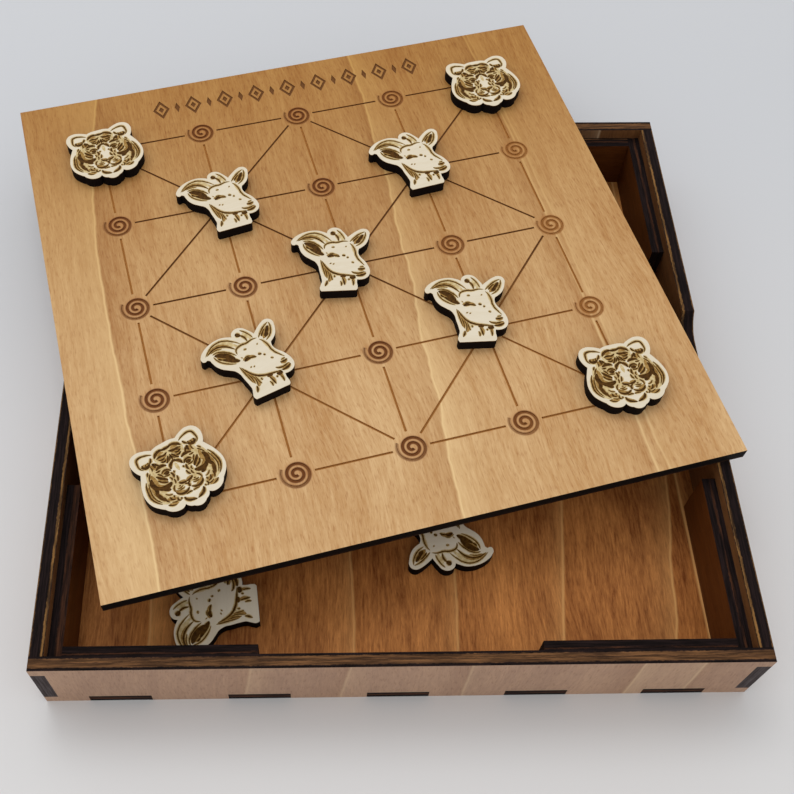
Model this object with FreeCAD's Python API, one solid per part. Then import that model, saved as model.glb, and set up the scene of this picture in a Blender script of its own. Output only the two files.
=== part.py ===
import FreeCAD, Part
import os
from math import atan2, cos, degrees, hypot, pi, radians, sin, sqrt, tan

# A plywood tray for a five by five game of tigers and goats. The engraved board is the tray's lid,
# and lies turned on the rim. Millimetres, +Z up, origin at the centre of the tray's underside.

# Sheet thicknesses
wall_sheet = 4.0
base_sheet = 4.0
liner_sheet = 4.0
board_sheet = 4.0
token_sheet = 4.0

# Tray
box_side = 200.0
box_height = 27.0
corner_lap = 4.0  # top finger of the front and back walls, above the side wall's tab
corner_foot = 4.0  # bottom finger of the front and back walls, below that tab
tab_count = 5
tab_width = 17.7
tab_edge = 12.5  # plain wall from an outer corner to the first base tab
lid_recess = 4.0  # from the rim down to the liner tops
liner_length = 53.0
notch_width = 31.0  # at the rim
notch_depth = 5.2
notch_corner = 10.0  # radius of the arcs from its flat bottom to the rim

# Board, in the recess it has this gap on each side
board_gap = 0.5
board_left = 11.35  # how far it lies off the tray's centre, to the left and to the back
board_back = 32.03
board_turn = 13.84

# Engraved grid of the board
grid_nodes = 5
grid_pitch = 35.0
line_width = 0.65
line_depth = 0.4
line_stop = 5.7  # from a node's centre to the end of a line
spiral_radius = 4.7
spiral_pitch = 1.72
spiral_turns = 2.4
spiral_stroke = 0.75
spiral_tail = 0.28
spiral_taper = 0.3  # turns over which the tail grows to the full stroke
spiral_start = 149.0
spiral_right = 0.3  # its centre's offset from the node
spiral_up = 0.1
spiral_steps = 20  # points along the stroke, two to each arc
spiral_depth = 0.3

# Engraved border between the top row and the board's back edge
border_inset = 11.0
border_count = 9
border_pitch = 11.6
lozenge_width = 6.0
lozenge_height = 9.0
border_stroke = 0.9
bar_width = 1.8
bar_height = 5.0

# Heads, each between the outermost points of its outline
tiger_width = 25.2
goat_width = 25.85

# Goats lying under the board, loosely in rows
tray_columns = 5
tray_rows = 3
sway_across = 2.4  # steps of the uneven spacing, in radians
sway_along = 1.7
turn_step = 137.5

# A tiger head from the front: smooth stretches that meet at corners, clockwise from the crown
tiger_crown = [(-3.9, 10.6), (-2.4, 11.05), (0.0, 11.15), (2.4, 11.05), (3.9, 10.6)]
tiger_right_side = [
    [(3.9, 10.6), (5.8, 11.6), (8.2, 12.15), (10.3, 11.4), (11.4, 9.2), (11.2, 7.2), (10.2, 5.1)],
    [(10.2, 5.1), (10.9, 3.7), (11.9, 1.4), (12.6, -2.6), (11.9, -5.3), (10.6, -7.0), (9.4, -8.1)],
    [(9.4, -8.1), (8.9, -8.9), (7.9, -9.8), (6.2, -10.4), (4.8, -10.3), (3.8, -9.6)],
    [(3.8, -9.6), (3.1, -10.7), (2.0, -11.3)],
]
tiger_chin = [(2.0, -11.3), (1.2, -11.9), (0.0, -12.2), (-1.2, -11.9), (-2.0, -11.3)]

# A goat head in profile, clockwise from the long horn's root behind the ear
goat_outline = [
    [(-13.2, 6.9), (-14.3, 6.75), (-14.75, 7.7), (-14.1, 9.2), (-12.6, 10.6), (-10.5, 11.7),
     (-8.0, 12.3), (-6.0, 12.3), (-4.2, 11.75), (-2.8, 11.0)],
    [(-2.8, 11.0), (-2.4, 12.2), (-1.4, 13.0), (0.0, 13.25), (1.4, 12.7), (2.6, 11.2), (3.9, 9.0)],
    [(3.9, 9.0), (5.8, 10.6), (7.5, 11.7), (9.0, 12.25), (10.3, 11.9), (11.1, 10.7), (10.9, 9.0),
     (10.4, 7.4), (9.5, 5.8), (8.3, 4.7), (7.2, 4.0)],
    [(7.2, 4.0), (6.8, 2.8), (6.95, 1.4), (7.5, 0.3), (8.4, -0.9), (9.3, -2.6), (9.85, -4.4),
     (9.85, -6.0), (9.2, -7.4), (8.1, -8.2), (6.8, -8.5), (5.6, -8.4)],
    [(5.6, -8.4), (5.4, -9.6), (5.5, -11.2), (5.3, -12.2), (4.8, -12.6)],
    [(4.8, -12.6), (-6.1, -12.5)],
    [(-6.1, -12.5), (-6.55, -11.5), (-6.2, -10.1), (-5.7, -8.7), (-5.8, -7.0), (-6.2, -4.5),
     (-6.55, -2.2), (-7.3, -0.7), (-8.9, 0.6), (-10.5, 1.9), (-11.7, 3.7), (-12.2, 5.4),
     (-12.5, 6.5), (-13.2, 6.9)],
]

# Pieces on the board: row and column of the node, offset from it to the right and up as shares of
# the grid's pitch, turn in degrees
tigers_on_board = [
    (0, 0, 0.029, -0.144, 6.5),
    (0, 4, -0.036, -0.124, 0.5),
    (4, 0, 0.086, 0.199, 18.8),
    (4, 4, -0.026, 0.173, 0.0),
]
goats_on_board = [
    (1, 1, 0.043, -0.032, 6.1),
    (1, 3, -0.027, 0.015, 3.2),
    (2, 2, -0.103, 0.005, -11.0),
    (3, 1, -0.079, 0.109, 14.4),
    (3, 3, -0.064, 0.164, -11.0),
]

# Goats at the open front of the tray: shares of its inner side from the front left corner, turn
goats_in_front = [
    (0.2266, 0.1079, 96.5),
    (0.5797, 0.2302, 183.5),
]

half_side = box_side / 2
inner_half = half_side - wall_sheet
tray_half = inner_half - liner_sheet
liner_top = box_height - lid_recess
tab_pitch = (box_side - 2 * tab_edge - tab_width) / (tab_count - 1)
board_side = 2 * (inner_half - board_gap)
board_shift = FreeCAD.Vector(-board_left, board_back, box_height)
tray_pitch = 2 * tray_half / tray_columns

straight_bend = 0.002  # radians, a smaller bend is drawn as a line
up = FreeCAD.Vector(0, 0, 1)
origin = FreeCAD.Vector(0, 0, 0)


def block(low, high):
    return Part.makeBox(high[0] - low[0], high[1] - low[1], high[2] - low[2], FreeCAD.Vector(*low))


def turned(shape, quarter_turns):
    copy = shape.copy()
    copy.rotate(origin, up, 90 * quarter_turns)
    return copy


def base_tabs():
    """Tongues of the base along the front edge, which fill the wall's slots."""
    tabs = []
    for index in range(tab_count):
        centre = -half_side + tab_edge + tab_width / 2 + index * tab_pitch
        low = (centre - tab_width / 2, -half_side, 0)
        high = (centre + tab_width / 2, -inner_half, base_sheet)
        tabs.append(block(low, high))
    return tabs


def corner_tabs():
    """The two ends of a side wall that pass through the front wall, at the front corners."""
    tabs = []
    for low_x in (-half_side, inner_half):
        low = (low_x, -half_side, corner_foot)
        high = (low_x + wall_sheet, -inner_half, box_height - corner_lap)
        tabs.append(block(low, high))
    return tabs


def make_base_panel():
    panel = block((-inner_half, -inner_half, 0), (inner_half, inner_half, base_sheet))
    tabs = [turned(tab, side) for side in range(4) for tab in base_tabs()]
    return panel.fuse(tabs).removeSplitter()


def make_front_wall():
    wall = block((-half_side, -half_side, 0), (half_side, -inner_half, box_height))
    return wall.cut(base_tabs() + corner_tabs()).removeSplitter()


def make_right_wall():
    wall = block((inner_half, -inner_half, 0), (half_side, inner_half, box_height))
    ends = [corner_tabs()[1], turned(corner_tabs()[0], 2)]
    slots = [turned(tab, 1) for tab in base_tabs()]
    return wall.fuse(ends).cut(slots).removeSplitter()


def make_finger_notch():
    """A shallow slot in the right wall's rim: a flat bottom with an arc up to the rim at each end."""
    reach = sqrt(notch_depth * (2 * notch_corner - notch_depth))
    half = notch_width / 2
    left_foot = FreeCAD.Vector(reach - half, box_height - notch_depth, 0)
    right_foot = FreeCAD.Vector(half - reach, box_height - notch_depth, 0)
    left_rim = FreeCAD.Vector(-half, box_height, 0)
    right_rim = FreeCAD.Vector(half, box_height, 0)
    above = FreeCAD.Vector(0, wall_sheet, 0)
    along = FreeCAD.Vector(1, 0, 0)
    edges = [
        segment(left_foot, right_foot),
        arc_from(right_foot, along, right_rim),
        segment(right_rim, right_rim + above),
        segment(right_rim + above, left_rim + above),
        segment(left_rim + above, left_rim),
        arc_from(left_foot, -along, left_rim),
    ]
    cutter = prism(edges, 3 * wall_sheet)
    cutter.rotate(origin, FreeCAD.Vector(1, 1, 1), 120)
    cutter.translate(FreeCAD.Vector(inner_half - wall_sheet, 0, 0))
    return cutter


def make_liners():
    """Two strips inside each wall. The ones on the side walls run into the corners."""
    side_strip = block((inner_half - liner_sheet, -inner_half, base_sheet),
                       (inner_half, -inner_half + liner_length, liner_top))
    end_strip = block((-tray_half, -inner_half, base_sheet),
                      (-tray_half + liner_length, -inner_half + liner_sheet, liner_top))
    mirror_x = FreeCAD.Vector(1, 0, 0)
    mirror_y = FreeCAD.Vector(0, 1, 0)
    return {
        "liner_right_front": side_strip,
        "liner_right_back": side_strip.mirror(origin, mirror_y),
        "liner_left_front": side_strip.mirror(origin, mirror_x),
        "liner_left_back": side_strip.mirror(origin, mirror_x).mirror(origin, mirror_y),
        "liner_front_left": end_strip,
        "liner_front_right": end_strip.mirror(origin, mirror_x),
        "liner_back_left": end_strip.mirror(origin, mirror_y),
        "liner_back_right": end_strip.mirror(origin, mirror_x).mirror(origin, mirror_y),
    }


def prism(edges, height):
    return Part.Face(Part.Wire(edges)).extrude(FreeCAD.Vector(0, 0, height))


def segment(start, end):
    return Part.LineSegment(start, end).toShape()


def arc_from(start, direction, end):
    """An arc that leaves its start along a direction, or a line where that is straight on."""
    chord = end - start
    bend = atan2(chord.x * direction.y - chord.y * direction.x, chord.dot(direction))
    if abs(bend) < straight_bend:
        return segment(start, end)
    left = FreeCAD.Vector(-chord.y, chord.x, 0)
    return Part.Arc(start, start + chord / 2 + left * (tan(bend / 2) / 2), end).toShape()


def tangents(points):
    """Direction of the smooth line at each point, that of the circle through its neighbours."""
    chords = [end - start for start, end in zip(points, points[1:])]
    inner = []
    for before, after in zip(chords, chords[1:]):
        direction = before / before.Length ** 2 + after / after.Length ** 2
        inner.append(direction.normalize())
    ends = []
    for chord, neighbour in ((chords[0], inner[0]), (chords[-1], inner[-1])):
        along = chord / chord.Length
        ends.append(along * (2 * neighbour.dot(along)) - neighbour)
    return [ends[0]] + inner + [ends[1]]


def smooth_edges(outline):
    """A smooth line through the points: two tangent arcs from each point to the next."""
    points = [FreeCAD.Vector(x, y, 0) for x, y in outline]
    if len(points) == 2:
        return [segment(*points)]
    edges = []
    directions = tangents(points)
    for start, end, leave, arrive in zip(points, points[1:], directions, directions[1:]):
        chord = end - start
        both = chord.dot(leave + arrive)
        spread = 2 * (1 - leave.dot(arrive))
        if spread < straight_bend ** 2:
            reach = chord.dot(chord) / (2 * both)
        else:
            reach = (sqrt(both * both + spread * chord.dot(chord)) - both) / spread
        middle = (start + end + (leave - arrive) * reach) / 2
        edges += [arc_from(start, leave, middle), arc_from(end, -arrive, middle)]
    return edges


def arc_edges(outline):
    """A round line of arcs, each through three of the points."""
    points = [FreeCAD.Vector(x, y, 0) for x, y in outline]
    return [Part.Arc(*points[first:first + 3]).toShape() for first in range(0, len(points) - 2, 2)]


def polygon_prism(points, height):
    corners = [FreeCAD.Vector(x, y, 0) for x, y in points]
    return Part.Face(Part.makePolygon(corners + corners[:1])).extrude(FreeCAD.Vector(0, 0, height))


def spiral_prism():
    """One engraved whirl about a node. The stroke swells from a thin tail at its outer end."""
    outer_side = []
    inner_side = []
    for index in range(spiral_steps + 1):
        turns = spiral_turns * index / spiral_steps
        angle = radians(spiral_start) + 2 * pi * turns
        radius = spiral_radius - spiral_pitch * turns
        stroke = spiral_tail + (spiral_stroke - spiral_tail) * min(1.0, turns / spiral_taper)
        for side, reach in ((outer_side, radius + stroke / 2), (inner_side, radius - stroke / 2)):
            side.append((spiral_right + reach * cos(angle), spiral_up + reach * sin(angle)))
    edges = arc_edges(outer_side) + smooth_edges([outer_side[-1], inner_side[-1]])
    edges += arc_edges(inner_side[::-1]) + smooth_edges([inner_side[0], outer_side[0]])
    return prism(edges, spiral_depth)


def line_prism(start, end):
    """An engraved line between two neighbouring nodes, stopping short of both."""
    length = hypot(end[0] - start[0], end[1] - start[1])
    line = block((line_stop, -line_width / 2, 0), (length - line_stop, line_width / 2, line_depth))
    line.rotate(origin, up, degrees(atan2(end[1] - start[1], end[0] - start[0])))
    line.translate(FreeCAD.Vector(start[0], start[1], 0))
    return line


def node_place(row, column):
    middle = (grid_nodes - 1) / 2
    return ((column - middle) * grid_pitch, (middle - row) * grid_pitch)


def grid_lines():
    """Rows, columns and the diagonals through every second node."""
    lines = []
    for row in range(grid_nodes):
        for column in range(grid_nodes):
            steps = [(0, 1), (1, 0)]
            if (row + column) % 2 == 0:
                steps += [(1, 1), (1, -1)]
            for down, right in steps:
                if row + down < grid_nodes and 0 <= column + right < grid_nodes:
                    lines.append(line_prism(node_place(row, column), node_place(row + down, column + right)))
    return lines


def grid_spirals():
    whirl = spiral_prism()
    spirals = []
    for row in range(grid_nodes):
        for column in range(grid_nodes):
            x, y = node_place(row, column)
            spirals.append(whirl.translated(FreeCAD.Vector(x, y, 0)))
    return spirals


def lozenge(width, height):
    return polygon_prism([(-width / 2, 0), (0, -height / 2), (width / 2, 0), (0, height / 2)], spiral_depth)


def border_motifs():
    """A row of open lozenges, each round a small one, with a pointed bar in each gap."""
    slope = hypot(lozenge_width, lozenge_height)
    inner_width = lozenge_width - 2 * border_stroke * slope / lozenge_height
    inner_height = lozenge_height - 2 * border_stroke * slope / lozenge_width
    frame = lozenge(lozenge_width, lozenge_height).cut(lozenge(inner_width, inner_height))
    seed = lozenge(inner_width / 2, inner_height / 2)
    bar = lozenge(bar_width, bar_height)
    motifs = []
    for index in range(border_count):
        x = (index - (border_count - 1) / 2) * border_pitch
        motifs += [frame.translated(FreeCAD.Vector(x, 0, 0)), seed.translated(FreeCAD.Vector(x, 0, 0))]
        if index < border_count - 1:
            motifs.append(bar.translated(FreeCAD.Vector(x + border_pitch / 2, 0, 0)))
    return motifs


def on_board(shape, x, y, z):
    """Move a shape from the board's own frame, centred on its underside, to the rim."""
    placed = shape.copy()
    placed.translate(FreeCAD.Vector(x, y, z))
    placed.rotate(origin, up, board_turn)
    placed.translate(board_shift)
    return placed


def make_board():
    half = board_side / 2
    board = block((-half, -half, 0), (half, half, board_sheet))
    border_y = half - border_inset
    line_floor = FreeCAD.Vector(0, 0, board_sheet - line_depth)
    spiral_floor = FreeCAD.Vector(0, 0, board_sheet - spiral_depth)
    border_floor = FreeCAD.Vector(0, border_y, board_sheet - spiral_depth)
    cutters = [line.translated(line_floor) for line in grid_lines()]
    cutters += [whirl.translated(spiral_floor) for whirl in grid_spirals()]
    cutters += [motif.translated(border_floor) for motif in border_motifs()]
    return on_board(board.cut(cutters), 0, 0, 0)


def sized(outline, width):
    """An outline's stretches, scaled to a width between their outermost points."""
    across = [x for stretch in outline for x, y in stretch]
    scale = width / (max(across) - min(across))
    return [[(x * scale, y * scale) for x, y in stretch] for stretch in outline]


def token(outline):
    return prism([edge for stretch in outline for edge in smooth_edges(stretch)], token_sheet)


def make_tiger():
    left_side = [[(-x, y) for x, y in stretch[::-1]] for stretch in tiger_right_side[::-1]]
    return token(sized([tiger_crown] + tiger_right_side + [tiger_chin] + left_side, tiger_width))


def make_goat():
    return token(sized(goat_outline, goat_width))


def place_on_board(piece, row, column, right, back, turn):
    x, y = node_place(row - back, column + right)
    laid = piece.copy()
    laid.rotate(origin, up, turn)
    return on_board(laid, x, y, board_sheet)


def place_in_tray(piece, x, y, turn):
    laid = piece.copy()
    laid.rotate(origin, up, turn)
    laid.translate(FreeCAD.Vector(x, y, base_sheet))
    return laid


def tray_places():
    """Where goats lie in the tray: two in front, then loose rows from the back under the board."""
    places = []
    for right, back, turn in goats_in_front:
        places.append(((2 * right - 1) * inner_half, (2 * back - 1) * inner_half, turn))
    reach = max(hypot(x, y) for stretch in sized(goat_outline, goat_width) for x, y in stretch)
    play = tray_pitch / 2 - reach
    for row in range(tray_rows):
        for column in range(tray_columns):
            if row < tray_rows - 1 and column == tray_columns - 1:
                continue
            number = len(places)
            x = -tray_half + (column + 0.5) * tray_pitch + play * sin(sway_across * number)
            y = tray_half - (row + 0.5) * tray_pitch + play * cos(sway_along * number)
            places.append((x, y, (turn_step * number) % 360))
    return places


def make_parts():
    front_wall = make_front_wall()
    side_wall = make_right_wall()
    parts = {
        "base_panel": make_base_panel(),
        "front_wall": front_wall,
        "back_wall": turned(front_wall, 2),
        "left_wall": turned(side_wall, 2),
        "right_wall": side_wall.cut(make_finger_notch()),
        "board": make_board(),
    }
    parts.update(make_liners())
    tiger = make_tiger()
    goat = make_goat()
    for number, place in enumerate(tigers_on_board, 1):
        parts[f"tiger_{number}"] = place_on_board(tiger, *place)
    for number, place in enumerate(goats_on_board, 1):
        parts[f"goat_{number}"] = place_on_board(goat, *place)
    for number, place in enumerate(tray_places(), len(goats_on_board) + 1):
        parts[f"goat_{number}"] = place_in_tray(goat, *place)
    return parts


os.makedirs("parts", exist_ok=True)
for name, shape in make_parts().items():
    solids = shape.Solids
    if len(solids) != 1 or not shape.isValid():
        print("check", name, len(solids), shape.isValid())
    solids[0].exportStep(f"parts/{name}.step")
    box = shape.BoundBox
    print(f"{name}: {box.XLength:.2f} x {box.YLength:.2f} x {box.ZLength:.2f}, volume {shape.Volume:.1f}")
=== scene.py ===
import math

import bmesh
import bpy
from mathutils import Euler, Matrix, Vector, geometry


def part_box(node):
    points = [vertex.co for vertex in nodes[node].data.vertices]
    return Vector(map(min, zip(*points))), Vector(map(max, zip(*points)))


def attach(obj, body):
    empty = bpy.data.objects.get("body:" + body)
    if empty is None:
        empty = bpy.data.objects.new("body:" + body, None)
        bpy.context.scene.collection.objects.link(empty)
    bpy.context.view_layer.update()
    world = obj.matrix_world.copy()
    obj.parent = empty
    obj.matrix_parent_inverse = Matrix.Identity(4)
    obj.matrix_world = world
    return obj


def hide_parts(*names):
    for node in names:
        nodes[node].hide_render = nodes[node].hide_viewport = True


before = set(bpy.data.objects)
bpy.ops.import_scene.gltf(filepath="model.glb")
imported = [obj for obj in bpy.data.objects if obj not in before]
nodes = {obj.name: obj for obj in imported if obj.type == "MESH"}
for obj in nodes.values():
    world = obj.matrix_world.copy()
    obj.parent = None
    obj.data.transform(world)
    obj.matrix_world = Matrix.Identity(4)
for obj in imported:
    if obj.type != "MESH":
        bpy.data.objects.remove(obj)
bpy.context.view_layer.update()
mm = 0.001
print("frame loaded:", len(nodes), "nodes")


def shade(red, green, blue):
    # a screen colour from 0 to 255 as the linear one that shaders take
    channels = [value / 255 for value in (red, green, blue)]
    linear = [c / 12.92 if c <= 0.04045 else ((c + 0.055) / 1.055) ** 2.4 for c in channels]
    return (*linear, 1.0)


def addObject(name, data):
    item = bpy.data.objects.new(name, data)
    bpy.context.scene.collection.objects.link(item)
    return item


# Camera, at the photograph's viewpoint: its place in metres and its turns in degrees

camera = {
    "place": (-0.024713, -0.193282, 0.317363),
    "tilt": 32.12,
    "swing": -1.80,
    "roll": 1.04,
    "lens": 50.447,
    "sensor": 36.0,
    "shift": (0.08808, -0.01634),
    "nearest": 0.01,
    "farthest": 20.0,
}


def makeCamera():
    data = bpy.data.cameras.new("camera")
    data.sensor_width = camera["sensor"]
    data.lens = camera["lens"]
    data.shift_x, data.shift_y = camera["shift"]
    data.clip_start = camera["nearest"]
    data.clip_end = camera["farthest"]
    eye = addObject("camera", data)
    turn = Matrix.Rotation(math.radians(camera["swing"]), 4, "Z")
    tip = Matrix.Rotation(math.radians(camera["tilt"]), 4, "X")
    lean = Matrix.Rotation(math.radians(camera["roll"]), 4, "Z")
    eye.matrix_world = Matrix.Translation(camera["place"]) @ turn @ tip @ lean
    bpy.context.scene.camera = eye


makeCamera()
bpy.context.scene.view_settings.view_transform = "Standard"
print("camera set")


# Short ways to wire shader nodes

def feed(tree, socket, value):
    if isinstance(value, bpy.types.NodeSocket):
        tree.links.new(value, socket)
    elif value is not None:
        socket.default_value = value


def addNode(tree, kind, inputs=None, **settings):
    node = tree.nodes.new(kind)
    for name, value in settings.items():
        setattr(node, name, value)
    for name, value in (inputs or {}).items():
        feed(tree, node.inputs[name], value)
    return node


def calc(tree, operation, *values):
    node = addNode(tree, "ShaderNodeMath", operation=operation)
    for socket, value in zip(node.inputs, values):
        feed(tree, socket, value)
    return node.outputs[0]


def vectorCalc(tree, operation, *values):
    node = addNode(tree, "ShaderNodeVectorMath", operation=operation)
    for socket, value in zip(node.inputs, values):
        feed(tree, socket, value)
    return node.outputs[0]


def mixColours(tree, share, first, second, mode="MIX"):
    node = addNode(tree, "ShaderNodeMix", data_type="RGBA", blend_type=mode)
    for index, value in ((0, share), (6, first), (7, second)):
        feed(tree, node.inputs[index], value)
    return node.outputs[2]


def smoothStep(tree, value, low, high):
    limits = {"Value": value, "From Min": low, "From Max": high}
    return addNode(tree, "ShaderNodeMapRange", limits, interpolation_type="SMOOTHSTEP").outputs[0]


def stretchedNoise(tree, position, density, detail=2.0, roughness=0.5):
    # density is the number of blotches to a millimetre along each axis
    scaled = vectorCalc(tree, "MULTIPLY", position, density)
    inputs = {"Vector": scaled, "Scale": 1.0, "Detail": detail, "Roughness": roughness}
    return addNode(tree, "ShaderNodeTexNoise", inputs).outputs[0]


def axes(tree, vector):
    return addNode(tree, "ShaderNodeSeparateXYZ", {"Vector": vector}).outputs


def combine(tree, x, y=0.0, z=0.0):
    return addNode(tree, "ShaderNodeCombineXYZ", {"X": x, "Y": y, "Z": z}).outputs[0]


def swing(tree, noise, reach):
    # a noise round 0.5 as a move to either side
    return calc(tree, "MULTIPLY", calc(tree, "SUBTRACT", noise, 0.5), reach)


def opposite(tree, mask):
    return calc(tree, "SUBTRACT", 1.0, mask)


def distance(tree, across, along):
    squares = [calc(tree, "POWER", value, 2.0) for value in (across, along)]
    return calc(tree, "SQRT", calc(tree, "ADD", *squares))


def farthestOf(tree, first, second):
    return calc(tree, "MAXIMUM", calc(tree, "ABSOLUTE", first), calc(tree, "ABSOLUTE", second))


def newGroup(name, inputs, outputs):
    tree = bpy.data.node_groups.new(name, "ShaderNodeTree")
    for label, kind, default in inputs:
        socket = tree.interface.new_socket(label, in_out="INPUT", socket_type="NodeSocket" + kind)
        if default is not None:
            socket.default_value = default
    for label, kind in outputs:
        tree.interface.new_socket(label, in_out="OUTPUT", socket_type="NodeSocket" + kind)
    return tree, tree.nodes.new("NodeGroupInput").outputs, tree.nodes.new("NodeGroupOutput").inputs


def useGroup(tree, group, inputs):
    node = tree.nodes.new("ShaderNodeGroup")
    node.node_tree = group
    for name, value in inputs.items():
        feed(tree, node.inputs[name], value)
    return node.outputs


# Effects shared by the woods: positions are in millimetres, x across the grain, y along it,
# z the depth below the sheet's face

veneer = {
    # each noise as blotches to a millimetre along x, y and z, its detail and its roughness
    "wander": ((0.016, 0.011, 0.016), 2.0),
    "clouds": ((0.06, 0.013, 0.06), 4.0, 0.55),
    "streaks": ((0.45, 0.04, 0.45), 5.0, 0.66),
    "fibres": ((1.5, 0.15, 1.5), 4.0, 0.75),
    "flecks": ((2.0, 0.32, 2.0), 2.0),
    "fleckEdge": (0.53, 0.72),
    "fleckShare": 0.5,
    "fleckDepth": 0.6,
    "sway": 14.0,
    "seedStep": (37.0, 91.0, 13.0),
}


def makeVeneer():
    inputs = [
        ("Position", "Vector", None),
        ("Pale", "Color", shade(210, 170, 120)),
        ("Dark", "Color", shade(180, 135, 85)),
        ("Clouds", "Float", 1.0),
        ("Streaks", "Float", 1.0),
        ("Fibres", "Float", 1.0),
        ("Flecks", "Float", 1.0),
        ("Seed", "Float", 0.0),
    ]
    tree, given, result = newGroup("veneer", inputs, [("Color", "Color"), ("Height", "Float")])
    steps = {"Vector": veneer["seedStep"], "Scale": given["Seed"]}
    offset = addNode(tree, "ShaderNodeVectorMath", steps, operation="SCALE").outputs[0]
    moved = vectorCalc(tree, "ADD", given["Position"], offset)
    wander = stretchedNoise(tree, moved, *veneer["wander"])
    sideways = combine(tree, calc(tree, "MULTIPLY", wander, veneer["sway"]))
    bent = vectorCalc(tree, "ADD", moved, sideways)
    clouds = stretchedNoise(tree, bent, *veneer["clouds"])
    streaks = stretchedNoise(tree, bent, *veneer["streaks"])
    fibres = stretchedNoise(tree, bent, *veneer["fibres"])
    flecks = smoothStep(tree, stretchedNoise(tree, bent, *veneer["flecks"]), *veneer["fleckEdge"])
    tone = swing(tree, clouds, given["Clouds"])
    fine = swing(tree, streaks, given["Streaks"])
    thread = swing(tree, fibres, given["Fibres"])
    total = calc(tree, "ADD", calc(tree, "ADD", tone, fine), calc(tree, "ADD", thread, 0.5))
    wood = mixColours(tree, total, given["Dark"], given["Pale"])
    pores = calc(tree, "MULTIPLY", calc(tree, "MULTIPLY", flecks, given["Flecks"]), veneer["fleckShare"])
    feed(tree, result["Color"], mixColours(tree, pores, wood, given["Dark"], "MULTIPLY"))
    pits = calc(tree, "MULTIPLY", flecks, veneer["fleckDepth"])
    feed(tree, result["Height"], calc(tree, "SUBTRACT", fibres, pits))
    return tree


growthLine = {
    "drift": ((1.0, 0.045, 1.0), 3.0),
    "driftReach": 2.0,
    "fadeEdge": (-0.3, 0.2),
    "fadeShare": 0.5,
    "lineMiddle": 0.25,
    "lineWidth": 0.45,
    "shadowReach": 5.0,
    "shadowEdge": (0.2, -0.4),
    "shadowShare": 0.6,
    "shadow": shade(222, 206, 190),
}


def makeGrowthLine():
    # a pale wavering line, sharp on one side, where the wood is darker, and fading on the other
    inputs = [
        ("Position", "Vector", None),
        ("Place", "Float", 0.0),
        ("Slope", "Float", 0.0),
        ("Bend", "Float", 0.0),
        ("Wander", "Float", 2.0),
        ("Fade", "Float", 6.0),
        ("Side", "Float", 1.0),
    ]
    outputs = [("Mask", "Float"), ("Line", "Float"), ("Shadow", "Float")]
    tree, given, result = newGroup("growth line", inputs, outputs)
    x, y, _ = axes(tree, given["Position"])
    # the line is straight in front of the middle and bends behind it
    behindMiddle = calc(tree, "MAXIMUM", y, 0.0)
    curve = calc(tree, "MULTIPLY", calc(tree, "POWER", behindMiddle, 2.0), given["Bend"])
    straight = calc(tree, "ADD", given["Place"], calc(tree, "MULTIPLY", given["Slope"], y))
    course = calc(tree, "ADD", straight, curve)
    slow = stretchedNoise(tree, combine(tree, given["Place"], y), *growthLine["drift"])
    drift = calc(tree, "MULTIPLY", swing(tree, slow, given["Wander"]), growthLine["driftReach"])
    gap = calc(tree, "ADD", calc(tree, "SUBTRACT", x, course), drift)
    beside = calc(tree, "MULTIPLY", gap, given["Side"])
    away = calc(tree, "DIVIDE", calc(tree, "MAXIMUM", beside, 0.0), given["Fade"])
    fade = calc(tree, "EXPONENT", calc(tree, "MULTIPLY", away, -1.0))
    fadeEdge = smoothStep(tree, beside, *growthLine["fadeEdge"])
    feed(tree, result["Mask"], calc(tree, "MULTIPLY", fade, fadeEdge))
    off = calc(tree, "SUBTRACT", beside, growthLine["lineMiddle"])
    close = calc(tree, "POWER", calc(tree, "DIVIDE", off, growthLine["lineWidth"]), 2.0)
    feed(tree, result["Line"], calc(tree, "EXPONENT", calc(tree, "MULTIPLY", close, -1.0)))
    before = calc(tree, "DIVIDE", calc(tree, "MINIMUM", beside, 0.0), growthLine["shadowReach"])
    shadowEdge = smoothStep(tree, beside, *growthLine["shadowEdge"])
    feed(tree, result["Shadow"], calc(tree, "MULTIPLY", calc(tree, "EXPONENT", before), shadowEdge))
    return tree


cutPly = {
    "ragged": ((0.9, 0.25, 0.9), 3.0, 0.6),
    "raggedReach": 0.7,
    "softness": 0.15,
    "patches": ((0.07, 0.9, 0.3), 5.0, 0.7),
    "patchEdge": (0.38, 0.62),
    "streaks": ((0.11, 2.2, 0.3), 5.0, 0.65),
    "charStreaks": (0.35, 0.8),
    "plyStreaks": (0.62, 0.36),
    "streakShare": 0.55,
}


def makePly():
    # one ply left paler in a laser-cut edge: position is x along the edge, y through the sheet
    inputs = [
        ("Position", "Vector", None),
        ("Start", "Float", 3.0),
        ("End", "Float", 4.0),
        ("Patches", "Float", 1.0),
    ]
    tree, given, result = newGroup("cut ply", inputs, [("Mask", "Float"), ("Streaks", "Float")])
    _, depth, _ = axes(tree, given["Position"])
    ragged = stretchedNoise(tree, given["Position"], *cutPly["ragged"])
    place = calc(tree, "ADD", depth, swing(tree, ragged, cutPly["raggedReach"]))
    soft = cutPly["softness"]
    start = smoothStep(tree, calc(tree, "SUBTRACT", place, given["Start"]), -soft, soft)
    end = smoothStep(tree, calc(tree, "SUBTRACT", place, given["End"]), soft, -soft)
    # each ply has patches of its own
    patchPlace = vectorCalc(tree, "ADD", given["Position"], given["Start"])
    patches = stretchedNoise(tree, patchPlace, *cutPly["patches"])
    patchy = smoothStep(tree, patches, *cutPly["patchEdge"])
    worn = calc(tree, "MULTIPLY", given["Patches"], opposite(tree, patchy))
    band = calc(tree, "MULTIPLY", calc(tree, "MULTIPLY", start, end), opposite(tree, worn))
    feed(tree, result["Mask"], band)
    feed(tree, result["Streaks"], stretchedNoise(tree, given["Position"], *cutPly["streaks"]))
    return tree


veneerGroup = makeVeneer()
growthLineGroup = makeGrowthLine()
plyGroup = makePly()


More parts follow.
